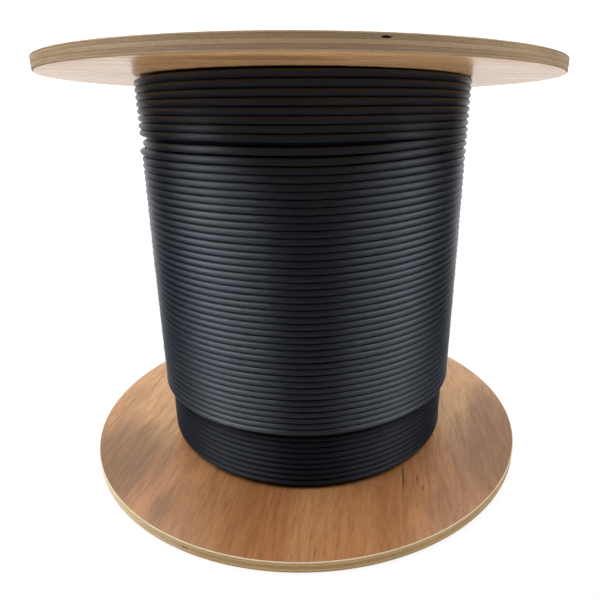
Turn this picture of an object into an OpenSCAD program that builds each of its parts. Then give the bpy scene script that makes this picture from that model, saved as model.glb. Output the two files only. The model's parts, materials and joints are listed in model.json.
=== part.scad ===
// Wooden cable drum: two plywood flanges on a paper barrel, clamped by tie bolts,
// with a full winding of round cable. It stands on its lower flange. Millimetres.
// The origin is the centre of the lower flange's outer face, and +Z is the drum's axis.

/* [Flanges] */
// Diameter of each plywood flange
flange_d = 400; // [340:5:500]
// Thickness of the plywood
flange_t = 9; // [8:0.5:18]
// Radius of the sanded arris on the rim
rim_round = 0.8; // [0.3:0.1:2]
// Diameter of the spindle hole in each flange
spindle_d = 50; // [30:1:70]

/* [Barrel] */
// Inside diameter of the paper barrel
barrel_bore = 152; // [150:1:170]
// Wall of the barrel
barrel_wall = 6.5; // [3:0.5:7]
// Clear width between the flanges
traverse = 308; // [240:1:400]
// Depth of the groove that seats the barrel in each flange
seat_depth = 3; // [1:0.5:4]

/* [Cable] */
// Diameter of the cable
cable_d = 5; // [4:0.1:5.4]
// Layers of cable on the barrel, the part-filled last one counted
layers = 12; // [8:1:12]
// Space between neighbouring turns
turn_space = 0.06; // [0:0.01:0.3]
// Turns at the top of the last layer that lie a little loose
loose_turns = 8; // [2:1:16]
// Space between the loose turns
loose_space = 0.4; // [0:0.05:1]
// Open gap below the loose turns
loose_gap = 2; // [0:0.1:5]
// Height above the lower flange that the last layer leaves bare
bare_band = 55; // [20:1:120]
// Depth of the groove between neighbouring turns
groove_depth = 1.5; // [0.5:0.1:1.8]
// How far a flange presses the turns against it flat
press = 0.2; // [0.1:0.05:0.4]

/* [Tie bolts] */
// Number of tie bolts
bolt_count = 4; // [3:1:6]
// Diameter of the circle that the bolts stand on
bolt_circle = 124; // [110:1:126]
// Angle of the first bolt round the axis, from +X
bolt_start = 45; // [0:5:90]
// Diameter of the bolt shank
bolt_d = 8; // [6:0.5:9]
// Width of the hexagonal head across its flats
head_flats = 13; // [12:0.5:17]
// Height of the head
head_h = 5.3; // [4:0.1:8]
// Height of the chamfer round the top of the head
head_chamfer = 1; // [0.5:0.1:1.5]
// Diameter of the washer under the head
washer_d = 24; // [20:1:25]
// Thickness of the washer
washer_t = 2; // [1:0.1:3]
// Diameter of the tee nut's flange
tee_d = 22; // [18:1:24]
// Thickness of the tee nut's flange
tee_t = 1.6; // [1:0.1:2]
// Diameter of the tee nut's threaded barrel
tee_barrel_d = 10.4; // [10:0.1:12]
// Length of the tee nut's threaded barrel below its flange
tee_barrel_l = 5.6; // [3:0.1:6]

/* [Fits] */
// Gap round a bolt in its hole, and round a piece in its pocket
hole_gap = 0.5; // [0.2:0.05:1]
// Gap on each side of the barrel in its groove
seat_gap = 0.25; // [0.1:0.05:0.5]
// Gap between the barrel and the first layer of cable
lay_gap = 0.1; // [0.05:0.05:0.3]
// Gap round the bolt in the washer and in the tee nut's thread
thread_gap = 0.15; // [0.05:0.05:0.3]
// How far the tee nut is drawn in below the flange's face
tee_sink = 0.3; // [0.1:0.1:1]

/* [Hidden] */
$fn = 96;

// Levels along the axis
inner_low = flange_t;
inner_high = flange_t + traverse;
drum_h = 2 * flange_t + traverse;

// Radii of the barrel and of the cable's centre line in each layer
barrel_r = barrel_bore / 2 + barrel_wall;
layer_rise = cable_d * cos(30);
first_lay_r = barrel_r + lay_gap + cable_d / 2;
function lay_r(layer) = first_lay_r + layer * layer_rise;
last_lay_r = lay_r(layers - 1);
under_lay_r = lay_r(layers - 2);

// Turns of the last two layers, counted from the flanges
groove_fill = cable_d / 2 - groove_depth;
turn_pitch = cable_d + turn_space;
loose_pitch = cable_d + loose_space;
top_turn_z = inner_high - cable_d / 2 + press;
main_top_z = top_turn_z - (loose_turns - 1) * loose_pitch - cable_d - loose_gap;
bare_top = inner_low + bare_band;
main_turns = floor((main_top_z - cable_d / 2 - bare_top) / turn_pitch) + 1;
main_low_z = main_top_z - (main_turns - 1) * turn_pitch;
step_z = main_low_z - cable_d / 2 + groove_fill;
under_low_z = inner_low + cable_d / 2 - press;
under_turns = floor((main_low_z - cable_d / 2 - under_low_z) / turn_pitch) + 1;
// On the winding's ends one layer's turns lie half a pitch behind the next,
// and the grooves between the layers go down to end_groove from the flange
end_nest = turn_pitch / 2;
end_groove = groove_depth - press + end_nest / 2;

// Tie bolts: the head bears on a washer, and the shank ends inside a flush tee nut
bolt_low = tee_sink + tee_t / 2;
bolt_hole_r = bolt_d / 2 + hole_gap;
washer_top = drum_h + washer_t;
tee_pocket = tee_t + tee_sink;

BOLT_NAMES = [for (i = [1:bolt_count]) str("tie_bolt_", i)];
WASHER_NAMES = [for (i = [1:bolt_count]) str("washer_", i)];
TEE_NAMES = [for (i = [1:bolt_count]) str("tee_nut_", i)];

// Puts the children at the place of tie bolt i, turned with it round the axis
module at_bolt(i) {
    rotate(bolt_start + (i - 1) * 360 / bolt_count) translate([bolt_circle / 2, 0, 0]) children();
}

// Sawn plywood disc with rounded arrises, from z = 0 up
module ply_disc() {
    rim_r = flange_d / 2;
    rotate_extrude($fn = 180) union() {
        square([rim_r - rim_round, flange_t]);
        translate([0, rim_round]) square([rim_r, flange_t - 2 * rim_round]);
        for (z = [rim_round, flange_t - rim_round])
            translate([rim_r - rim_round, z]) circle(r = rim_round, $fn = 32);
    }
}

// Ring groove that takes one end of the barrel, its mouth at z = 0 and its floor below
module barrel_groove() {
    translate([0, 0, -seat_depth]) difference() {
        cylinder(r = barrel_r + seat_gap, h = 2 * seat_depth);
        translate([0, 0, -seat_depth]) cylinder(r = barrel_bore / 2 - seat_gap, h = 4 * seat_depth);
    }
}

module spindle_hole() {
    translate([0, 0, -flange_t]) cylinder(d = spindle_d, h = 3 * flange_t);
}

// Lower flange: tee nuts are let in flush from its outer face
module flange_lower() {
    color("peru") difference() {
        ply_disc();
        spindle_hole();
        translate([0, 0, inner_low]) barrel_groove();
        for (i = [1:bolt_count]) at_bolt(i) {
            translate([0, 0, -flange_t]) cylinder(d = tee_barrel_d + 2 * hole_gap, h = 3 * flange_t);
            translate([0, 0, -tee_pocket]) cylinder(d = tee_d + 2 * hole_gap, h = 2 * tee_pocket);
        }
    }
}

// Upper flange: plain clearance holes for the bolts
module flange_upper() {
    color("burlywood") difference() {
        translate([0, 0, inner_high]) ply_disc();
        translate([0, 0, inner_high]) spindle_hole();
        translate([0, 0, inner_high]) mirror([0, 0, 1]) barrel_groove();
        for (i = [1:bolt_count]) at_bolt(i)
            translate([0, 0, inner_high - flange_t]) cylinder(r = bolt_hole_r, h = 3 * flange_t);
    }
}

// Spiral-wound paper tube, seated in both grooves
module barrel() {
    color("tan") translate([0, 0, inner_low - seat_depth]) difference() {
        cylinder(r = barrel_r, h = traverse + 2 * seat_depth);
        translate([0, 0, -seat_depth]) cylinder(d = barrel_bore, h = traverse + 4 * seat_depth);
    }
}

// One turn of cable in the winding's half section
module turn(r, z) {
    translate([r, z]) circle(d = cable_d, $fn = 48);
}

// Half section of the body of the winding, up to the bottom of the grooves between the turns
module winding_body() {
    bore_r = barrel_r + lay_gap;
    low = inner_low + end_groove;
    high = inner_high - end_groove;
    translate([bore_r, low]) square([under_lay_r + groove_fill - bore_r, high - low]);
    translate([bore_r, step_z]) square([last_lay_r + groove_fill - bore_r, high - step_z]);
}

// Half sections of the turns that show: the last layer, the bare band of the layer
// under it, and the turns of every layer at the two ends
module winding_turns() {
    for (i = [0:loose_turns - 1]) turn(last_lay_r, top_turn_z - i * loose_pitch);
    for (i = [0:main_turns - 1]) turn(last_lay_r, main_top_z - i * turn_pitch);
    for (i = [0:under_turns - 1]) turn(under_lay_r, under_low_z + i * turn_pitch);
    for (layer = [0:layers - 2]) {
        behind = (layers - 2 - layer) % 2 * end_nest;
        turn(lay_r(layer), under_low_z + behind);
        turn(lay_r(layer), top_turn_z - end_nest + behind);
    }
}

// The wound cable as one turned solid, held flat between the two flanges
module cable_winding() {
    color("#1c1c20") rotate_extrude($fn = 180) intersection() {
        union() {
            winding_body();
            winding_turns();
        }
        translate([barrel_r + lay_gap, inner_low]) square([last_lay_r, traverse]);
    }
}

// Hexagon-head bolt from the upper flange down to the tee nut
module tie_bolt(i) {
    head_r = head_flats / 2 / cos(30);
    color("silver") at_bolt(i) {
        translate([0, 0, bolt_low]) cylinder(d = bolt_d, h = washer_top - bolt_low + head_h / 2);
        translate([0, 0, washer_top]) intersection() {
            cylinder(r = head_r, h = head_h, $fn = 6);
            union() {
                cylinder(r = head_r + head_chamfer, h = head_h - head_chamfer);
                translate([0, 0, head_h - head_chamfer])
                    cylinder(r1 = head_r, r2 = head_flats / 2 - head_chamfer / 2, h = head_chamfer);
            }
        }
    }
}

module washer(i) {
    color("gainsboro") at_bolt(i) translate([0, 0, drum_h]) difference() {
        cylinder(d = washer_d, h = washer_t);
        translate([0, 0, -washer_t]) cylinder(r = bolt_d / 2 + thread_gap, h = 3 * washer_t);
    }
}

// Tee nut: a flat flange let in flush, and a threaded barrel up into the plywood
module tee_nut(i) {
    color("lightsteelblue") at_bolt(i) translate([0, 0, tee_sink]) difference() {
        union() {
            cylinder(d = tee_d, h = tee_t);
            cylinder(d = tee_barrel_d, h = tee_t + tee_barrel_l);
        }
        translate([0, 0, -tee_t]) cylinder(r = bolt_d / 2 + thread_gap, h = 3 * (tee_t + tee_barrel_l));
    }
}

flange_lower();
flange_upper();
barrel();
cable_winding();
for (i = [1:bolt_count]) {
    tie_bolt(i);
    washer(i);
    tee_nut(i);
}
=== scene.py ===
import json
import math

import bmesh
import bpy
import mathutils
import numpy as np
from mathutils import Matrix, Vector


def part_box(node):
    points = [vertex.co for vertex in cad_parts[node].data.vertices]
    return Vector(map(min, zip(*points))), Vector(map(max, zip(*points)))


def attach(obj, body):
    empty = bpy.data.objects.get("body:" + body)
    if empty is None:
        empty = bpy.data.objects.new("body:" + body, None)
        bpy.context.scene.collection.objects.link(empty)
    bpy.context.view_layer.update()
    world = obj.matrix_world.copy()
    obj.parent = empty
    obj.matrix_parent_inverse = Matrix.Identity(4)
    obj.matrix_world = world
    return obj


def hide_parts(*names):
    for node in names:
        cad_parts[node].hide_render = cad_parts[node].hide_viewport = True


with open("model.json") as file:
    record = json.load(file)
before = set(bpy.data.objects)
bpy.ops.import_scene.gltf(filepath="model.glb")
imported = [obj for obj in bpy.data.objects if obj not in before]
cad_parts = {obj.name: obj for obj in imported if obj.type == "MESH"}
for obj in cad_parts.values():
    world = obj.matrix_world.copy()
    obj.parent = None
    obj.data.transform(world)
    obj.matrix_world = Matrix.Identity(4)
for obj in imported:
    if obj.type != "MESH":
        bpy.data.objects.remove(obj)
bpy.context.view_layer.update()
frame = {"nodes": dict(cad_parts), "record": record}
mm = 0.001


# Lower flange: the sawn plywood disc that the drum stands on, five plies glued crosswise, with a
# reddish hardwood veneer on both faces. The rim is sawn round and lightly sanded. A turned groove in
# the inner face seats the barrel, and pockets in the outer face take the tee nuts.
flange_low, flange_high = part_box("flange_lower")
flange_r = flange_high.x
flange_t = flange_high.z - flange_low.z
barrel_low, barrel_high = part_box("barrel")
barrel_r = barrel_high.x
spindle_r = frame["record"]["mounts"][0]["dims"]["r_mm"] * mm
bolt_places = [(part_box(f"tie_bolt_{i}")[0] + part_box(f"tie_bolt_{i}")[1]) / 2 for i in range(1, 5)]

rim_round = 0.8 * mm
hole_round = 0.4 * mm
barrel_wall = 6.5 * mm
seat_gap = 0.25 * mm
groove_in = barrel_r - barrel_wall - seat_gap
groove_out = barrel_r + seat_gap
groove_depth = flange_high.z - barrel_low.z
tee_hole_r = 5.7 * mm
tee_pocket_r = 11.5 * mm
tee_pocket_depth = 1.9 * mm
ply_edges = (0.13, 0.37, 0.63, 0.87)
rim_steps = 1200
rim_rows = 30
round_steps = 5
hub_rings = 4
inner_rings = 9
outer_rings = 12
grain_rough = 0.06 * mm
cross_ply_sunk = 0.05 * mm
glue_sunk = 0.14 * mm
glue_half = 0.3 * mm
chip_least = 1.5
chip_deep = 0.5 * mm
chip_reach = 1.3 * mm
arris_kept = 0.02 * mm
FACE, EDGE = 0, 1


def wavy(angles, draw, slowest, fastest, waves):
    """A smooth random curve round the rim, about -1 to 1, that closes on itself."""
    curve = np.zeros_like(angles)
    for turns in draw.integers(slowest, fastest, waves):
        curve += np.cos(turns * angles + draw.uniform(0, math.tau))
    return curve / math.sqrt(waves)


def rim_relief(angles, heights, grain_along_x, gaps, draw):
    """How far the sawn rim lies inside its full radius, by row and angle: rough end grain, glue
    lines, chipped arrises, and the gaps where an inner ply has a hole."""
    relief = np.zeros((len(heights), len(angles)))
    share = heights / flange_t
    ply = np.searchsorted(ply_edges, share)
    end_x = np.cos(angles) ** 2
    for row, place in enumerate(ply):
        along_x = grain_along_x if place % 2 == 0 else not grain_along_x
        end_grain = end_x if along_x else 1 - end_x
        rough = np.abs(draw.normal(0, grain_rough, len(angles)))
        uneven = 1 + wavy(angles, draw, slowest=4, fastest=40, waves=6) / 3
        relief[row] = end_grain * rough
        if place % 2:
            relief[row] += cross_ply_sunk * uneven
        to_glue = min(abs(share[row] - edge) for edge in ply_edges) * flange_t
        relief[row] += glue_sunk * max(0, 1 - to_glue / glue_half)
    arris = np.minimum(heights, flange_t - heights)
    for side in (0, flange_t):
        chips = wavy(angles, draw, slowest=60, fastest=260, waves=9)
        chipped = np.maximum(0, chips - chip_least) * chip_deep
        reach = np.maximum(0, 1 - np.abs(heights - side) / chip_reach)
        relief += chipped[None, :] * reach[:, None]
    for gap_angle, gap_height, gap_long, gap_high, gap_deep in gaps:
        along = np.angle(np.exp(1j * (angles - gap_angle))) * flange_r / (gap_long / 2)
        up = (heights - gap_height) / (gap_high / 2)
        inside = 1 - along[None, :] ** 4 - up[:, None] ** 4
        relief += gap_deep * np.clip(inside * 2, 0, 1)
    return np.where(arris[:, None] < arris_kept, 0, relief)


def ply_disc(name, outer_z, inward, grain_along_x, gaps, seed):
    """A turned flange, from its outer face at outer_z to its inner face, with the relief on its rim."""
    draw = np.random.default_rng(seed)
    angles = np.linspace(0, math.tau, rim_steps, endpoint=False)
    bend = np.linspace(0, math.pi / 2, round_steps)
    section = [(spindle_r + hole_round, 0, EDGE), (spindle_r, hole_round, EDGE)]
    section += [(spindle_r, flange_t - hole_round, EDGE), (spindle_r + hole_round, flange_t, FACE)]
    section += [(r, flange_t, FACE) for r in np.linspace(spindle_r, groove_in, hub_rings)[1:-1]]
    section += [(groove_in, flange_t, EDGE), (groove_in, flange_t - groove_depth, EDGE)]
    section += [(groove_out, flange_t - groove_depth, EDGE), (groove_out, flange_t, FACE)]
    rings = np.linspace(groove_out, flange_r - rim_round, inner_rings)[1:-1]
    section += [(r, flange_t, FACE) for r in rings]
    first_rim = len(section)
    for turn in bend:
        across = flange_r - rim_round + rim_round * math.sin(turn)
        section.append((across, flange_t - rim_round + rim_round * math.cos(turn), EDGE))
    rim_levels = np.linspace(flange_t - rim_round, rim_round, rim_rows)[1:-1]
    section += [(flange_r, level, EDGE) for level in rim_levels]
    for turn in bend[::-1]:
        across = flange_r - rim_round + rim_round * math.sin(turn)
        section.append((across, rim_round - rim_round * math.cos(turn), EDGE))
    last_rim = len(section)
    section[-1] = (section[-1][0], 0, FACE)
    rings = np.linspace(flange_r - rim_round, spindle_r + hole_round, outer_rings)[1:-1]
    section += [(r, 0, FACE) for r in rings]

    radius = np.array([point[0] for point in section])[:, None] + np.zeros(rim_steps)[None, :]
    height = np.array([point[1] for point in section])
    rim_heights = height[first_rim:last_rim]
    radius[first_rim:last_rim] -= rim_relief(angles, rim_heights, grain_along_x, gaps, draw)
    points = np.empty((len(section), rim_steps, 3))
    points[..., 0] = radius * np.cos(angles)
    points[..., 1] = radius * np.sin(angles)
    points[..., 2] = (outer_z + inward * height)[:, None]

    row = np.arange(len(section))
    column = np.arange(rim_steps)
    here = row[:, None] * rim_steps + column[None, :]
    after = np.roll(here, -1, axis=0)
    faces = np.stack([here, np.roll(here, -1, axis=1), np.roll(after, -1, axis=1), after], -1)
    mesh = bpy.data.meshes.new(name)
    mesh.from_pydata(points.reshape(-1, 3).tolist(), [], faces.reshape(-1, 4).tolist())
    kinds = np.repeat([point[2] for point in section], rim_steps)
    mesh.polygons.foreach_set("material_index", kinds.astype(np.int32))
    outward(mesh)
    disc = bpy.data.objects.new(name, mesh)
    bpy.context.scene.collection.objects.link(disc)
    return disc


def outward(mesh):
    """Turns all faces of a closed mesh to face out."""
    work = bmesh.new()
    work.from_mesh(mesh)
    bmesh.ops.recalc_face_normals(work, faces=work.faces)
    work.to_mesh(mesh)
    work.free()


def drill(disc, places, radius, low_z, high_z):
    """Drills round holes of one size at all the given places, from low_z up to high_z."""
    work = bmesh.new()
    for place in places:
        hole = bmesh.ops.create_cone(
            work, cap_ends=True, segments=64, radius1=radius, radius2=radius, depth=high_z - low_z
        )
        bmesh.ops.translate(work, verts=hole["verts"], vec=(place.x, place.y, (low_z + high_z) / 2))
    for face in work.faces:
        face.material_index = EDGE
    mesh = bpy.data.meshes.new("drill")
    work.to_mesh(mesh)
    work.free()
    bits = bpy.data.objects.new("drill", mesh)
    bpy.context.scene.collection.objects.link(bits)
    cut = disc.modifiers.new("drill", "BOOLEAN")
    cut.object = bits
    cut.solver = "EXACT"
    bpy.context.view_layer.objects.active = disc
    bpy.ops.object.modifier_apply(modifier=cut.name)
    bpy.data.objects.remove(bits)


def ease(piece, sharpest):
    """Smooth shading, with the edges that turn by more than sharpest degrees kept sharp."""
    piece.data.polygons.foreach_set("use_smooth", np.ones(len(piece.data.polygons), bool))
    piece.data.set_sharp_from_angle(angle=math.radians(sharpest))


def add(tree, kind, inputs=None, **settings):
    """A shader node; each input is a plain value or the output socket of another node."""
    node = tree.nodes.new(kind)
    for setting, value in settings.items():
        setattr(node, setting, value)
    for socket, value in (inputs or {}).items():
        if isinstance(value, bpy.types.NodeSocket):
            tree.links.new(value, node.inputs[socket])
        else:
            node.inputs[socket].default_value = value
    return node


def math_of(tree, operation, first, second=0.0, third=0.0):
    """The result of one sum in the shader."""
    node = add(tree, "ShaderNodeMath", {0: first, 1: second, 2: third}, operation=operation)
    return node.outputs[0]


def ranged(tree, value, low, high, to_low=0.0, to_high=1.0):
    """Takes a value from low..high smoothly to to_low..to_high, and no further."""
    inputs = {"Value": value, "From Min": low, "From Max": high, "To Min": to_low, "To Max": to_high}
    return add(tree, "ShaderNodeMapRange", inputs, interpolation_type="SMOOTHSTEP").outputs[0]


def stretched(tree, place, scale, shift=(0, 0, 0)):
    """The place times scale by axis, moved by shift."""
    inputs = {"Vector": place, "Location": shift, "Scale": scale}
    return add(tree, "ShaderNodeMapping", inputs).outputs[0]


def noise(tree, place, scale, detail=3.0, roughness=0.55):
    """A soft random value, about 0.5 on average, that changes over 1 / scale metres."""
    inputs = {"Vector": place, "Scale": scale, "Detail": detail, "Roughness": roughness}
    return add(tree, "ShaderNodeTexNoise", inputs).outputs["Fac"]


def mixed(tree, share, first, second, blend="MIX"):
    """The first colour with a share of the second."""
    inputs = {"Fac": share, "Color1": first, "Color2": second}
    return add(tree, "ShaderNodeMixRGB", inputs, blend_type=blend).outputs[0]


def spot(tree, place, centre, size, turn=0.0):
    """1 at the centre of an oval spot, 0 past its edge."""
    inputs = {"Vector": place, "Location": centre, "Rotation": (0, 0, turn), "Scale": size}
    seen = add(tree, "ShaderNodeMapping", inputs, vector_type="TEXTURE").outputs[0]
    round_spot = add(tree, "ShaderNodeTexGradient", {"Vector": seen}, gradient_type="SPHERICAL")
    return round_spot.outputs["Fac"]


def finish_of(name):
    """A new material with its node tree, its main shader, and the place on the piece in metres."""
    material = bpy.data.materials.new(name)
    material.use_nodes = True
    tree = material.node_tree
    shader = tree.nodes["Principled BSDF"]
    place = add(tree, "ShaderNodeTexCoord").outputs["Object"]
    return material, tree, shader, place


def raised(tree, height, distance):
    """A fine relief in the shading, distance deep for a height of 1."""
    inputs = {"Height": height, "Distance": distance, "Strength": 1.0}
    return add(tree, "ShaderNodeBump", inputs).outputs[0]


def lengthwise(tree, place, lie, long, shift):
    """The place drawn out along the grain, which is turned by lie from +Y, for a streaky noise."""
    inputs = {"Vector": place, "Location": shift, "Rotation": (0, 0, lie), "Scale": (1, long, 1)}
    return add(tree, "ShaderNodeMapping", inputs, vector_type="TEXTURE").outputs[0]


# A pace is how often a noise changes in a metre
veneer_dark = (0.10, 0.042, 0.02, 1)
noise_middle = (0.5, 0.5, 0.5)
drift_pace = 6.0
grain_sway = 6 * mm
plank_long = 14.0
flake_long = 9.0
band_pace = 26.0
smear_pace = 90.0
streak_pace = 170.0
fibre_pace = 400.0
pore_pace = 1100.0
mark_breakup = 1.2
fleck_most = 0.45
pore_most = 0.45
veneer_relief = 0.03 * mm


def veneer(name, lie, shift, tan, red, brown, smoothest, gloss, marks):
    """Rotary-cut face veneer: broad bands and fine streaks along the grain, short dark pores, and marks:
    stains of handling, painted light and painted shade. marks lists (centre, size, colour, share), each
    drawn out along the grain."""
    material, tree, shader, place = finish_of(name)
    drift = add(tree, "ShaderNodeTexNoise", {"Vector": place, "Scale": drift_pace, "Detail": 2.0})
    inputs = {0: drift.outputs["Color"], 1: noise_middle}
    sway = add(tree, "ShaderNodeVectorMath", inputs, operation="SUBTRACT").outputs[0]
    sway = add(tree, "ShaderNodeVectorMath", {0: sway, "Scale": grain_sway}, operation="SCALE").outputs[0]
    bent = add(tree, "ShaderNodeVectorMath", {0: place, 1: sway}, operation="ADD").outputs[0]
    plank = lengthwise(tree, bent, lie, plank_long, shift)
    flake = lengthwise(tree, bent, lie, flake_long, shift)

    band = noise(tree, plank, band_pace, 3.0)
    colour = mixed(tree, ranged(tree, band, 0.32, 0.68), red, tan)
    smear = noise(tree, flake, smear_pace, 4.0, 0.65)
    for centre, size, mark_colour, share in marks:
        near = spot(tree, place, centre, size, lie)
        marked = math_of(tree, "MULTIPLY_ADD", math_of(tree, "SUBTRACT", smear, 0.5), mark_breakup, near)
        marked = math_of(tree, "MULTIPLY", marked, ranged(tree, near, 0.0, 0.3))
        colour = mixed(tree, ranged(tree, marked, 0.0, 0.8, 0.0, share), colour, mark_colour)
    streak = noise(tree, plank, streak_pace, 4.0, 0.65)
    colour = mixed(tree, ranged(tree, streak, 0.50, 0.72, 0.0, 0.55), colour, brown)
    colour = mixed(tree, ranged(tree, streak, 0.30, 0.46, 0.25, 0.0), colour, tan)
    fibre = noise(tree, flake, fibre_pace, 3.0, 0.65)
    colour = mixed(tree, 1.0, colour, ranged(tree, fibre, 0.3, 0.7, 1.13, 0.85), "MULTIPLY")
    dark_fibre = ranged(tree, fibre, 0.56, 0.7, 0.0, fleck_most)
    fleck = math_of(tree, "MULTIPLY", ranged(tree, smear, 0.45, 0.65), dark_fibre)
    colour = mixed(tree, fleck, colour, brown)
    pore = ranged(tree, noise(tree, flake, pore_pace, 2.0), 0.60, 0.72)
    colour = mixed(tree, math_of(tree, "MULTIPLY", pore, pore_most), colour, veneer_dark)
    tree.links.new(colour, shader.inputs["Base Color"])
    rough = ranged(tree, streak, 0.3, 0.7, smoothest, smoothest + 0.08)
    tree.links.new(rough, shader.inputs["Roughness"])
    shader.inputs["Specular IOR Level"].default_value = gloss
    height = math_of(tree, "SUBTRACT", fibre, pore)
    tree.links.new(raised(tree, height, veneer_relief), shader.inputs["Normal"])
    return material


glue_brown = (0.10, 0.06, 0.035, 1)
# Colour of the painted shade in the gaps of the plies
gap_painted_shade = (0.02, 0.011, 0.008, 1)
edge_pale = (0.90, 0.75, 0.50, 1)
ply_ripple = 0.07
ply_blur = 0.008
glue_share = 0.022
ripple_pace = 45.0
edge_fibre_pace = 55.0
edge_patch_pace = 26.0
edge_pore_pace = 900.0
edge_relief = 0.12 * mm


def ply_edge(name, outer_z, inward, grain_along_x, shift, long_grain, end_grain, pale_arris_and_lit_side):
    """The sawn edge of the five plies: pale where a ply is cut along its grain and dark where it is
    cut across, with brown glue lines and painted shade in the gaps. The last argument is the share of
    pale colour on the inner arris, and of paler colour painted towards -X as painted light."""
    material, tree, shader, place = finish_of(name)
    parts = add(tree, "ShaderNodeSeparateXYZ", {"Vector": place})
    x, y, z = parts.outputs
    ripple = noise(tree, stretched(tree, place, (1, 1, 0.2), shift), ripple_pace, 3.0)
    height = math_of(tree, "MULTIPLY_ADD", z, inward / flange_t, -inward * outer_z / flange_t)
    share = math_of(tree, "SUBTRACT", height, ply_ripple / 2)
    share = math_of(tree, "MULTIPLY_ADD", ripple, ply_ripple, share)
    crossed = 0.0
    glue = 0.0
    for number, edge in enumerate(ply_edges):
        step = ranged(tree, share, edge - ply_blur, edge + ply_blur)
        crossed = math_of(tree, "ADD" if number % 2 == 0 else "SUBTRACT", crossed, step)
        near = math_of(tree, "ABSOLUTE", math_of(tree, "SUBTRACT", share, edge))
        glue = math_of(tree, "MAXIMUM", glue, ranged(tree, near, 0.0, glue_share, 1.0, 0.0))
    x2 = math_of(tree, "MULTIPLY", x, x)
    y2 = math_of(tree, "MULTIPLY", y, y)
    r2 = math_of(tree, "ADD", x2, y2)
    face_end = math_of(tree, "DIVIDE", x2 if grain_along_x else y2, r2)
    turned = math_of(tree, "MULTIPLY_ADD", face_end, -2.0, 1.0)
    end_share = math_of(tree, "MULTIPLY_ADD", crossed, turned, face_end)

    fibre = noise(tree, stretched(tree, place, (1, 1, 14), shift), edge_fibre_pace, 4.0, 0.6)
    patch = noise(tree, stretched(tree, place, (1, 1, 7), shift), edge_patch_pace, 3.0)
    pores = noise(tree, place, edge_pore_pace, 2.0)
    toned = math_of(tree, "ADD", end_share, math_of(tree, "MULTIPLY_ADD", patch, 1.6, -0.8))
    colour = mixed(tree, ranged(tree, toned, 0.05, 0.95), long_grain, end_grain)
    # Painted light: the rim is paler towards -X
    paler = ranged(tree, x, -0.95 * flange_r, -0.3 * flange_r, pale_arris_and_lit_side, 0.0)
    paler = math_of(tree, "MAXIMUM", paler, ranged(tree, share, 0.86, 0.97, 0.0, pale_arris_and_lit_side))
    colour = mixed(tree, paler, colour, edge_pale)
    colour = mixed(tree, ranged(tree, fibre, 0.5, 0.75, 0.0, 0.5), colour, end_grain)
    colour = mixed(tree, ranged(tree, pores, 0.55, 0.7, 0.0, 0.35), colour, glue_brown)
    colour = mixed(tree, math_of(tree, "MULTIPLY", glue, 0.55), colour, glue_brown)
    # Painted shade: the gaps in the plies are darkened by their depth into the rim
    deep = math_of(tree, "SUBTRACT", flange_r, math_of(tree, "SQRT", r2))
    in_gap = ranged(tree, deep, 0.4 * mm, 0.9 * mm)
    in_hole = ranged(tree, deep, 6 * mm, 8 * mm)
    colour = mixed(tree, math_of(tree, "SUBTRACT", in_gap, in_hole), colour, gap_painted_shade)
    tree.links.new(colour, shader.inputs["Base Color"])
    tree.links.new(ranged(tree, fibre, 0.3, 0.7, 0.5, 0.68), shader.inputs["Roughness"])
    height = math_of(tree, "ADD", fibre, pores)
    tree.links.new(raised(tree, height, edge_relief), shader.inputs["Normal"])
    return material


# Gaps in a ply: angle, height above the outer face, length, thickness, depth
lower_gaps = [(math.radians(-116), 4.4 * mm, 5 * mm, 1.1 * mm, 2.5 * mm)]
lower_gaps += [(math.radians(38), 3.1 * mm, 9 * mm, 0.9 * mm, 2.5 * mm)]
# Paler colour for the painted sheen and painted light on the lower flange
veneer_painted_light = (0.47, 0.262, 0.116, 1)
veneer_soiled = (0.180, 0.092, 0.036, 1)
veneer_umber = (0.18, 0.084, 0.034, 1)


def mark(x, y, wide, long, colour, share):
    """A mark on the lower flange, the same at every height."""
    return (x, y, flange_high.z), (wide, long, 1), colour, share


# Paler wood painted on both sides of the winding: painted sheen and painted light from the bright
# backdrop behind
lower_marks = [mark(-0.155, 0.035, 0.08, 0.12, veneer_painted_light, 0.9)]
lower_marks += [mark(0.150, 0.040, 0.07, 0.12, veneer_painted_light, 0.9)]
lower_marks += [mark(-0.132, -0.030, 0.026, 0.08, veneer_painted_light, 1.0)]
lower_marks += [mark(0.142, -0.010, 0.034, 0.12, veneer_painted_light, 1.0)]
# Dirt at the left, darker wood at the right and in front, and painted shade at the front left
lower_marks += [mark(-0.160, -0.100, 0.050, 0.090, veneer_soiled, 1.0)]
lower_marks += [mark(-0.178, -0.060, 0.024, 0.070, veneer_soiled, 0.7)]
lower_marks += [mark(-0.113, -0.142, 0.012, 0.040, veneer_soiled, 0.7)]
lower_marks += [mark(-0.182, 0.020, 0.016, 0.050, veneer_soiled, 0.35)]
lower_marks += [mark(0.182, -0.030, 0.030, 0.085, veneer_umber, 0.7)]
lower_marks += [mark(0.156, -0.090, 0.045, 0.100, veneer_umber, 0.75)]
lower_marks += [mark(0.105, -0.150, 0.020, 0.040, veneer_umber, 0.4)]
# Painted shade at the front left, where the stronger left soft box lights the wood more
lower_marks += [mark(-0.075, -0.160, 0.055, 0.060, veneer_umber, 0.35)]
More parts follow.
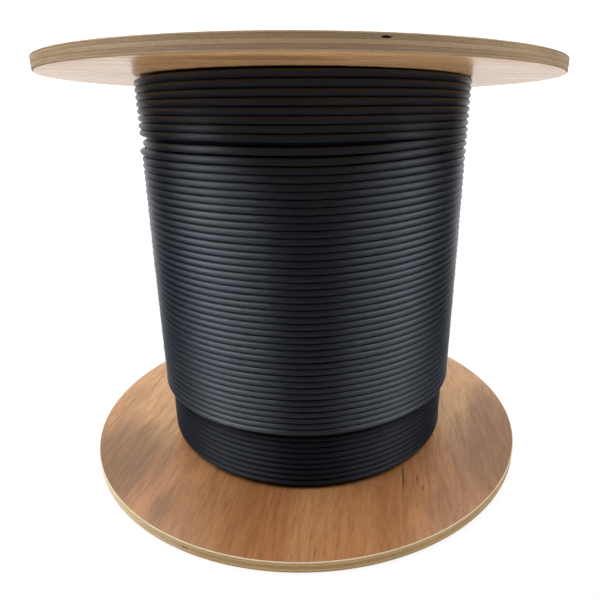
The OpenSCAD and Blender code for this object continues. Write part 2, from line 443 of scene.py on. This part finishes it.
# Short dark cracks in front of the winding
lower_marks += [mark(0.077, -0.117, 0.0012, 0.022, veneer_dark, 1.0)]
lower_marks += [mark(0.088, -0.120, 0.0013, 0.007, veneer_dark, 0.9)]
lower_marks += [mark(0.0905, -0.131, 0.0013, 0.006, veneer_dark, 0.9)]
flange_lower = ply_disc(
    "flange_lower_plywood", flange_low.z, inward=1, grain_along_x=False, gaps=lower_gaps, seed=11
)
drill(flange_lower, bolt_places, tee_hole_r, flange_low.z - flange_t, flange_high.z + flange_t)
drill(flange_lower, bolt_places, tee_pocket_r, flange_low.z - flange_t, flange_low.z + tee_pocket_depth)
ease(flange_lower, sharpest=40)
lower_tan = (0.385, 0.185, 0.078, 1)
lower_red = (0.306, 0.126, 0.047, 1)
lower_brown = (0.209, 0.089, 0.033, 1)
lower_lie = -0.165
lower_shift = (0.31, 0.07, 0.0)
lower_veneer = veneer(
    "veneer_lower", lower_lie, lower_shift, lower_tan, lower_red, lower_brown,
    smoothest=0.34, gloss=0.3, marks=lower_marks,
)
flange_lower.data.materials.append(lower_veneer)
# The lower rim is painted paler than the upper rim: painted light from the pale floor below
lower_long = (0.60, 0.385, 0.150, 1)
lower_end = (0.42, 0.265, 0.105, 1)
lower_edge = ply_edge(
    "ply_edge_lower", flange_low.z, inward=1, grain_along_x=False, shift=(0.4, 0.2, 0.0),
    long_grain=lower_long, end_grain=lower_end, pale_arris_and_lit_side=0.8,
)
flange_lower.data.materials.append(lower_edge)
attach(flange_lower, "root")
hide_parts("flange_lower")


# Barrel: the tube that the cable is wound on, kraft paper wound in a spiral and glued, cut to length
# and seated in the grooves of both flanges. The winding hides all but its bore.
kraft_light = (0.40, 0.265, 0.15, 1)
kraft_dark = (0.30, 0.19, 0.10, 1)
kraft_seam = (0.16, 0.10, 0.055, 1)
strip_w = 95 * mm
paper_fibre_pace = 260.0
paper_sheet_pace = 35.0
seam_half = 0.008
seam_deep = 3.0
paper_relief = 0.1 * mm


def kraft_paper(name):
    """Spiral-wound paper: one seam climbs the tube, with long fibres and a mottled sheet."""
    material, tree, shader, place = finish_of(name)
    parts = add(tree, "ShaderNodeSeparateXYZ", {"Vector": place})
    x, y, z = parts.outputs
    round_share = math_of(tree, "DIVIDE", math_of(tree, "ARCTAN2", y, x), math.tau)
    climb = math_of(tree, "FRACT", math_of(tree, "MULTIPLY_ADD", z, 1 / strip_w, round_share))
    to_seam = math_of(tree, "ABSOLUTE", math_of(tree, "SUBTRACT", climb, 0.5))
    seam = ranged(tree, to_seam, 0.0, seam_half, 1.0, 0.0)
    fibre = noise(tree, stretched(tree, place, (1, 1, 4)), paper_fibre_pace, 4.0, 0.65)
    sheet = noise(tree, place, paper_sheet_pace, 3.0)
    colour = mixed(tree, ranged(tree, sheet, 0.35, 0.65), kraft_light, kraft_dark)
    colour = mixed(tree, ranged(tree, fibre, 0.5, 0.75, 0.0, 0.5), colour, kraft_dark)
    colour = mixed(tree, math_of(tree, "MULTIPLY", seam, 0.8), colour, kraft_seam)
    tree.links.new(colour, shader.inputs["Base Color"])
    tree.links.new(ranged(tree, fibre, 0.3, 0.7, 0.7, 0.88), shader.inputs["Roughness"])
    height = math_of(tree, "SUBTRACT", fibre, math_of(tree, "MULTIPLY", seam, seam_deep))
    tree.links.new(raised(tree, height, paper_relief), shader.inputs["Normal"])
    return material


frame["nodes"]["barrel"].data.materials.clear()
frame["nodes"]["barrel"].data.materials.append(kraft_paper("kraft_paper"))


# Cable: black round cable with a smooth extruded jacket, wound on the barrel in twelve layers. The two
# outer layers are swept turn by turn: one climbs to the upper flange, and the last comes back down,
# with loose turns first and a gap under them, and stops short of the lower flange.
cable_r = 2.5 * mm
layer_rise = 4.33 * mm
last_r = 132.7 * mm
below_r = last_r - layer_rise
space_low = flange_high.z
space_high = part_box("flange_upper")[0].z
start_angle = math.radians(175)
front_share = 265 / 360
left_share = 338 / 360
press = 0.2 * mm
top_turn = space_high - cable_r + press

# Heights are those of the turns at the front of the drum
loose_turns = 8
loose_front = 312.9 * mm
loose_pitch = 5.3 * mm
main_front = 265.95 * mm
main_pitch = 5.03 * mm
main_lift = 2.05 * mm
main_settle = 1.1
turns = 49.51
below_turns = 60
step_up = 0.33

# From the end of the loose turns the cable moves on in short crossings, and lower down more evenly
cross_share = 235 / 360
cross_half = 0.09
cross_most = 0.9
cross_grow_from = 6.5
cross_grow_over = 2.6
cross_fade_from = 25
cross_fade_over = 20
# How far the sides of a turn lie above its front, by turn
quarter_turn = 0.25
lift_turns = (0, 5, 7, 10, 48)
lift_heights = (0, 2.0 * mm, 2.0 * mm, 1.0 * mm, -1.5 * mm)

# At the left the first close turn sinks in and the next stands out. The last turn lies proud.
sunk_in = 1.8 * mm
sunk_half = 0.09
proud_out = 0.9 * mm
proud_half = 0.05
end_out = 0.4 * mm
end_from = 1.2
end_grow = 0.3
height_pace = 1.4
radius_pace = 1.6
height_drift = 0.08 * mm
last_drift = 0.10 * mm
below_drift = 0.08 * mm

last_steps = 144
below_steps = 120
last_sides = 12
below_sides = 10
cap_steps = 4
cap_least = 0.02 * mm


def smooth(value):
    """Takes 0..1 to 0..1 with soft ends, and no further."""
    value = np.clip(value, 0, 1)
    return value * value * (3 - 2 * value)


def bump_at(turn, centre, half):
    """A soft bump of height 1 along the cable, centred on one turn count."""
    return np.where(np.abs(turn - centre) < half, np.cos((turn - centre) / half * math.pi / 2) ** 2, 0)


def wander(turn, seed, pace, waves=40):
    """A small smooth random drift along the cable, about -1 to 1."""
    draw = np.random.default_rng(seed)
    curve = np.zeros_like(turn)
    for step in draw.uniform(pace / 3, pace, waves):
        curve += np.cos(math.tau * step * turn + draw.uniform(0, math.tau))
    return curve / math.sqrt(waves)


def wound_cable(name, angle, radius, height, sides):
    """One round cable swept along a wound path, closed at both ends by a rounded cap."""
    cap = np.linspace(0, math.pi / 2, cap_steps)[1:]
    thick = np.concatenate([np.cos(cap)[::-1], np.ones(len(angle)), np.cos(cap)]) * cable_r
    thick = np.maximum(thick, cap_least)
    reach = np.sin(cap) * cable_r / radius[0]
    way = np.sign(angle[-1] - angle[0])
    angle = np.concatenate([angle[0] - way * reach[::-1], angle, angle[-1] + way * reach])
    radius = np.pad(radius, len(cap), mode="edge")
    height = np.pad(height, len(cap), mode="edge")
    turn = np.linspace(0, math.tau, sides, endpoint=False)
    across = radius[:, None] + thick[:, None] * np.cos(turn)[None, :]
    points = np.empty((len(angle), sides, 3))
    points[..., 0] = across * np.cos(angle)[:, None]
    points[..., 1] = across * np.sin(angle)[:, None]
    points[..., 2] = height[:, None] + thick[:, None] * np.sin(turn)[None, :]
    here = np.arange(len(angle) - 1)[:, None] * sides + np.arange(sides)[None, :]
    beside = np.roll(here, -1, axis=1)
    faces = np.stack([here, here + sides, beside + sides, beside], -1).reshape(-1, 4).tolist()
    last = (len(angle) - 1) * sides
    faces.append(list(range(sides)))
    faces.append(list(range(last, last + sides))[::-1])
    mesh = bpy.data.meshes.new(name)
    mesh.from_pydata(points.reshape(-1, 3).tolist(), [], faces)
    outward(mesh)
    cable = bpy.data.objects.new(name, mesh)
    bpy.context.scene.collection.objects.link(cable)
    ease(cable, sharpest=75)
    return cable


jacket_black = (0.0035, 0.005, 0.012, 1)
jacket_worn = (0.007, 0.009, 0.018, 1)
jacket_sheen = (0.79, 0.89, 1.0, 1)
flow_pace = 28.0
rub_pace = 40.0
peel_pace = 1800.0
peel_relief = 0.02 * mm


def jacket(name, smoothest, gloss):
    """Satin black jacket: faint flow lines along the cable, and rubbed patches that are less dark."""
    material, tree, shader, place = finish_of(name)
    flow = noise(tree, stretched(tree, place, (1, 1, 30)), flow_pace, 3.0)
    rub = noise(tree, stretched(tree, place, (1, 1, 6)), rub_pace, 4.0, 0.6)
    peel = noise(tree, place, peel_pace, 2.0)
    colour = mixed(tree, ranged(tree, rub, 0.52, 0.72), jacket_black, jacket_worn)
    tree.links.new(colour, shader.inputs["Base Color"])
    rough = ranged(tree, flow, 0.3, 0.7, smoothest, smoothest + 0.08)
    tree.links.new(rough, shader.inputs["Roughness"])
    shader.inputs["Specular IOR Level"].default_value = gloss
    shader.inputs["IOR"].default_value = 1.6
    shader.inputs["Anisotropic"].default_value = 0.9
    shader.inputs["Anisotropic Rotation"].default_value = 0.25
    shader.inputs["Specular Tint"].default_value = jacket_sheen
    tree.links.new(raised(tree, peel, peel_relief), shader.inputs["Normal"])
    return material


# The layer below and the inner layers take a less glossy copy of the jacket, so the lower turns render
# darker: painted shade
jacket_glossy = jacket("cable_jacket_gloss_full", smoothest=0.48, gloss=1.0)
jacket_shaded = jacket("cable_jacket_painted_shade", smoothest=0.52, gloss=0.38)


def stepped(turn):
    """The turn count of a cable that lies level and moves on by one turn in a short crossing."""
    whole = np.round(turn - cross_share)
    return whole + smooth((turn - cross_share - whole) / (2 * cross_half) + 0.5)


def lay_height(count):
    """Height by turn count: the loose turns, the gap under them, then the close turns."""
    loose_z = loose_front - loose_pitch * count
    past = count - loose_turns
    main_z = main_front - main_pitch * past + main_lift * np.exp(-np.maximum(past, 0) / main_settle)
    settled = smooth(past + 1)
    return loose_z * (1 - settled) + main_z * settled


turn = np.linspace(0, turns, int(turns * last_steps) + 1)
angle = start_angle - math.tau * turn
past_front = turn - front_share
crossing = cross_most * smooth((past_front - cross_grow_from) / cross_grow_over)
crossing *= 1 - smooth((past_front - cross_fade_from) / cross_fade_over)
count = past_front + crossing * (stepped(turn) - stepped(np.array(front_share)) - past_front)
side = smooth(np.abs(past_front - np.round(past_front)) / quarter_turn)
side_lift = np.interp(past_front, lift_turns, lift_heights)
height = lay_height(count) + side_lift * side
height += wander(turn, seed=5, pace=height_pace) * height_drift
height = np.minimum(height, top_turn)
radius = below_r + layer_rise * smooth(turn / step_up)
radius -= sunk_in * bump_at(turn, loose_turns + left_share, sunk_half)
radius += proud_out * bump_at(turn, loose_turns + 1 + left_share, proud_half)
radius += end_out * smooth((turn - turns + end_from) / end_grow)
radius += wander(turn, seed=6, pace=radius_pace) * last_drift
cable_last = wound_cable("cable_last_layer", angle, radius, height, last_sides)

turn = np.linspace(0, below_turns, below_turns * below_steps + 1)
angle = start_angle - math.tau * (turn - below_turns)
low_turn = space_low + cable_r - press
height = low_turn + (top_turn - low_turn) * turn / below_turns
height += wander(turn, seed=7, pace=height_pace) * height_drift
height = np.clip(height, low_turn, top_turn)
radius = below_r + wander(turn, seed=8, pace=radius_pace) * below_drift
cable_below = wound_cable("cable_layer_below", angle, radius, height, below_sides)

# Inner layers of the same cable: one turned body under the layer below, with the turns of each layer
# rounded at both ends where they bear on the flanges.
inner_layers = 10
inner_steps = 120
lobe_points = 9
lay_gap = 0.1 * mm
inner_r = barrel_r + lay_gap
section = []
lobe = np.linspace(0, math.pi, lobe_points)
for layer in range(inner_layers):
    centre = inner_r + cable_r + layer * layer_rise
    for a in lobe:
        section.append((centre - layer_rise / 2 * math.cos(a), space_low + cable_r * (1 - math.sin(a))))
upper_side = [(r, space_low + space_high - z) for r, z in section[::-1]]
section = np.array(section + upper_side)
angles = np.linspace(0, math.tau, inner_steps, endpoint=False)
points = np.empty((len(section), inner_steps, 3))
points[..., 0] = section[:, :1] * np.cos(angles)
points[..., 1] = section[:, :1] * np.sin(angles)
points[..., 2] = section[:, 1:]
here = np.arange(len(section))[:, None] * inner_steps + np.arange(inner_steps)[None, :]
after = np.roll(here, -1, axis=0)
faces = np.stack([here, np.roll(here, -1, axis=1), np.roll(after, -1, axis=1), after], -1)
mesh = bpy.data.meshes.new("cable_inner_layers")
mesh.from_pydata(points.reshape(-1, 3).tolist(), [], faces.reshape(-1, 4).tolist())
outward(mesh)
cable_inner = bpy.data.objects.new("cable_inner_layers", mesh)
bpy.context.scene.collection.objects.link(cable_inner)
ease(cable_inner, sharpest=60)

finishes = ((cable_last, jacket_glossy), (cable_below, jacket_shaded), (cable_inner, jacket_shaded))
for piece, finish in finishes:
    piece.data.materials.append(finish)
    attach(piece, "root")
    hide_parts("cable_winding")


# Upper flange: the second plywood disc, with its face grain from side to side. It has the same groove
# for the barrel, and plain holes for the bolts that clamp both flanges onto it.
upper_low, upper_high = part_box("flange_upper")
bolt_hole_r = 4.5 * mm
upper_gaps = [(math.radians(-78.9), 2.2 * mm, 4.6 * mm, 0.85 * mm, 1.8 * mm)]
upper_gaps += [(math.radians(64), 5.6 * mm, 8 * mm, 1.0 * mm, 2.5 * mm)]
upper_gaps += [(math.radians(165), 2.6 * mm, 5 * mm, 0.9 * mm, 2.0 * mm)]
upper_mark_deep = 6 * mm
upper_marks = [((-0.03, -0.17, upper_low.z), (0.02, 0.09, upper_mark_deep), veneer_umber, 0.6)]
flange_upper = ply_disc(
    "flange_upper_plywood", upper_high.z, inward=-1, grain_along_x=True, gaps=upper_gaps, seed=23
)
drill(flange_upper, bolt_places, bolt_hole_r, upper_low.z - flange_t, upper_high.z + flange_t)
ease(flange_upper, sharpest=40)
# The upper veneer is paler and yellower than the lower one: partly its own tone, and partly painted light
# on its underside from below
upper_tan = (0.60, 0.355, 0.170, 1)
upper_red = (0.50, 0.275, 0.122, 1)
upper_brown = (0.35, 0.18, 0.078, 1)
upper_lie = -math.pi / 2
upper_shift = (0.12, 0.43, 0.2)
upper_veneer = veneer(
    "veneer_upper", upper_lie, upper_shift, upper_tan, upper_red, upper_brown,
    smoothest=0.24, gloss=0.24, marks=upper_marks,
)
flange_upper.data.materials.append(upper_veneer)
upper_long = (0.355, 0.235, 0.125, 1)
upper_end = (0.26, 0.17, 0.092, 1)
upper_edge = ply_edge(
    "ply_edge_upper", upper_high.z, inward=-1, grain_along_x=True, shift=(0.1, 0.6, 0.3),
    long_grain=upper_long, end_grain=upper_end, pale_arris_and_lit_side=0.0,
)
flange_upper.data.materials.append(upper_edge)
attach(flange_upper, "root")
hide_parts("flange_upper")


# Tie bolts, washers and tee nuts: pressed and turned steel with bright zinc plate. The bolts pass
# inside the barrel from a washer on the upper flange down into tee nuts let into the lower one.
zinc_bright = (0.62, 0.63, 0.64, 1)
zinc_dull = (0.44, 0.45, 0.46, 1)
cloud_pace = 160.0
line_pace = 500.0
line_relief = 0.03 * mm


def zinc_plate(name):
    """Bright zinc: cloudy plating, fine turning lines and a few dull spots."""
    material, tree, shader, place = finish_of(name)
    cloud = noise(tree, place, cloud_pace, 4.0)
    line = noise(tree, stretched(tree, place, (1, 1, 12)), line_pace, 2.0)
    colour = mixed(tree, ranged(tree, cloud, 0.4, 0.7), zinc_bright, zinc_dull)
    tree.links.new(colour, shader.inputs["Base Color"])
    shader.inputs["Metallic"].default_value = 1.0
    tree.links.new(ranged(tree, cloud, 0.3, 0.7, 0.24, 0.42), shader.inputs["Roughness"])
    tree.links.new(raised(tree, line, line_relief), shader.inputs["Normal"])
    return material


zinc_finish = zinc_plate("zinc_plate")
for kind in ("tie_bolt", "washer", "tee_nut"):
    for number in range(1, 5):
        fitting = frame["nodes"][f"{kind}_{number}"]
        fitting.data.materials.clear()
        fitting.data.materials.append(zinc_finish)


# Floor: a pale matt board that the drum stands on. It keeps a faint shadow of the drum, which fades
# into the white round it.
floor_r = 0.255
floor_sides = 96
floor_white = (0.9, 0.9, 0.9, 1)
floor_shine = 1.02
shadow_kept = 0.25
mesh = bpy.data.meshes.new("floor_board")
around = [math.tau * step / floor_sides for step in range(floor_sides)]
corners = [(floor_r * math.cos(a), floor_r * math.sin(a), 0) for a in around]
mesh.from_pydata(corners, [], [list(range(floor_sides))])
floor = bpy.data.objects.new("floor_board", mesh)
bpy.context.scene.collection.objects.link(floor)
material = bpy.data.materials.new("floor_white")
material.use_nodes = True
tree = material.node_tree
tree.nodes.clear()
ray = add(tree, "ShaderNodeLightPath")
shown = math_of(tree, "MAXIMUM", ray.outputs["Is Camera Ray"], ray.outputs["Is Glossy Ray"])
shown = math_of(tree, "MAXIMUM", shown, ray.outputs["Is Transmission Ray"])
matt = add(tree, "ShaderNodeBsdfDiffuse", {"Color": floor_white})
white = add(tree, "ShaderNodeEmission", {"Color": (1, 1, 1, 1), "Strength": floor_shine})
place = add(tree, "ShaderNodeTexCoord").outputs["Object"]
from_axis = add(tree, "ShaderNodeVectorMath", {0: place}, operation="LENGTH").outputs["Value"]
whiter = ranged(tree, from_axis, flange_r, floor_r, 1 - shadow_kept, 1.0)
share = math_of(tree, "MULTIPLY", shown, whiter)
both = add(tree, "ShaderNodeMixShader", {0: share, 1: matt.outputs[0], 2: white.outputs[0]})
add(tree, "ShaderNodeOutputMaterial", {"Surface": both.outputs[0]})
floor.data.materials.append(material)


# Light: a white studio, bright behind the drum and dim on the viewer's side, and a soft box high up on
# each side of the drum, the left one stronger.
backdrop_dim = 0.05
backdrop_bright = 1.5
side_glow = 0.12
floor_light = 1.5
drum_middle = (space_low + space_high) / 2
world = bpy.data.worlds.new("studio")
bpy.context.scene.world = world
world.use_nodes = True
tree = world.node_tree
facing = add(tree, "ShaderNodeTexCoord").outputs["Generated"]
sides = add(tree, "ShaderNodeSeparateXYZ", {"Vector": facing}).outputs
aside = math_of(tree, "ABSOLUTE", sides["X"])
behind = math_of(tree, "SUBTRACT", sides["Y"], aside)
backdrop = ranged(tree, behind, -0.3, 0.38, backdrop_dim, backdrop_bright)
in_front = ranged(tree, sides["Y"], 0.0, 0.3, 1.0, 0.0)
glow = math_of(tree, "MULTIPLY", ranged(tree, aside, 0.5, 0.85, 0.0, side_glow), in_front)
backdrop = math_of(tree, "ADD", backdrop, glow)
above_floor = ranged(tree, sides["Z"], -0.35, -0.12, 0.1, 1.0)
below_ceiling = ranged(tree, sides["Z"], 0.47, 0.66, 1.0, 0.25)
studio = math_of(tree, "MULTIPLY", backdrop, math_of(tree, "MULTIPLY", above_floor, below_ceiling))
ray = add(tree, "ShaderNodeLightPath")
below = ranged(tree, sides["Z"], -0.4, -0.05, floor_light, 0.0)
bounce = math_of(tree, "MULTIPLY", ray.outputs["Is Diffuse Ray"], below)
studio = math_of(tree, "MAXIMUM", studio, bounce)
white = math_of(tree, "MAXIMUM", ray.outputs["Is Camera Ray"], ray.outputs["Is Transmission Ray"])
mirrored = math_of(tree, "MULTIPLY", ray.outputs["Is Glossy Ray"], ranged(tree, behind, 0.2, 0.4))
white = math_of(tree, "MAXIMUM", white, mirrored)
level = math_of(tree, "MAXIMUM", studio, white)
tree.links.new(level, tree.nodes["Background"].inputs["Strength"])
tree.nodes["Background"].inputs["Color"].default_value = (1, 1, 1, 1)

soft_box_away = 0.75
soft_box_w = 1.15
soft_box_h = 0.65
soft_box_up = math.radians(56)
soft_box_lean = math.radians(24)
soft_box_side = math.radians(92)
left_power = 12.9
right_power = 9.4
soft_boxes = [("soft_box_left", -soft_box_side, left_power)]
soft_boxes += [("soft_box_right", soft_box_side, right_power)]
for name, turn, power in soft_boxes:
    lamp = bpy.data.lights.new(name, "AREA")
    lamp.shape = "RECTANGLE"
    lamp.size = soft_box_w
    lamp.size_y = soft_box_h
    lamp.energy = power
    soft_box = bpy.data.objects.new(name, lamp)
    across = soft_box_away * math.cos(soft_box_up)
    rise = drum_middle + soft_box_away * math.sin(soft_box_up)
    soft_box.location = (across * math.sin(turn), -across * math.cos(turn), rise)
    aim = mathutils.Euler((math.pi / 2 - soft_box_up, 0, turn)).to_matrix()
    lean = math.copysign(soft_box_lean, turn)
    soft_box.rotation_euler = (aim @ mathutils.Matrix.Rotation(lean, 3, "Z")).to_euler()
    soft_box.visible_camera = False
    bpy.context.scene.collection.objects.link(soft_box)


# Camera: close to the drum and a little below the upper flange, looking down on the lower one. Its
# lens and place are fitted to the outlines of the flanges and the winding.
sensor_w = 36.0
picture_px = 600
focal_px = 505.7
camera_down = 0.3402
camera_turn = 0.0371
lens = bpy.data.cameras.new("camera")
lens.sensor_width = sensor_w
lens.lens = sensor_w * focal_px / picture_px
lens.shift_x = -0.0417
lens.shift_y = -0.0077
camera = bpy.data.objects.new("camera", lens)
camera.location = (0, -0.4577, 0.2887)
camera.rotation_euler = (math.pi / 2 - camera_down, 0, -camera_turn)
bpy.context.scene.collection.objects.link(camera)
bpy.context.scene.camera = camera
bpy.context.scene.view_settings.view_transform = "Standard"

# Brings the scene up to date
bpy.context.view_layer.update()
